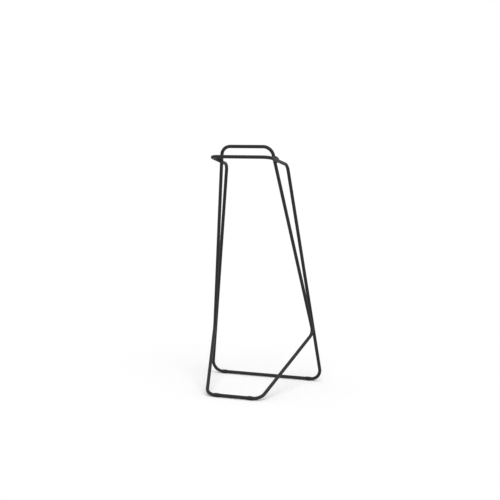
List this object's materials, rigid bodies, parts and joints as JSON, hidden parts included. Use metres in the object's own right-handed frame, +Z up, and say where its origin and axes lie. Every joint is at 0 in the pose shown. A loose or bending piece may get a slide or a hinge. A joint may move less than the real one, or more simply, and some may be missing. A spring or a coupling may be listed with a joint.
{
  "type": "bike storage rack",
  "caption": "Free-standing floor rack of nested, welded loops of bent round steel rod that cradle a bicycle by its top tube, with rubber sleeves as feet.",
  "frame": {"origin": "centre of the footprint, at floor level under the feet", "axes": "+Z up, +Y to the back, towards the wide rear floor bar, +X to the right of someone who faces the rack from the front"},
  "size_m": [0.4602, 0.3796, 0.9233],
  "materials": {
    "satin_black_powder_coat": "satin black powder coat on steel rod",
    "black_rubber": "matt black rubber"
  },
  "bodies": {
    "root": {"rear_frame": "satin_black_powder_coat", "front_frame": "satin_black_powder_coat", "upper_weld_left": "satin_black_powder_coat", "upper_weld_right": "satin_black_powder_coat", "lower_weld_left": "satin_black_powder_coat", "lower_weld_right": "satin_black_powder_coat", "rear_foot_left": "black_rubber", "rear_foot_right": "black_rubber", "front_foot_left": "black_rubber", "front_foot_right": "black_rubber"}
  },
  "joints": []
}
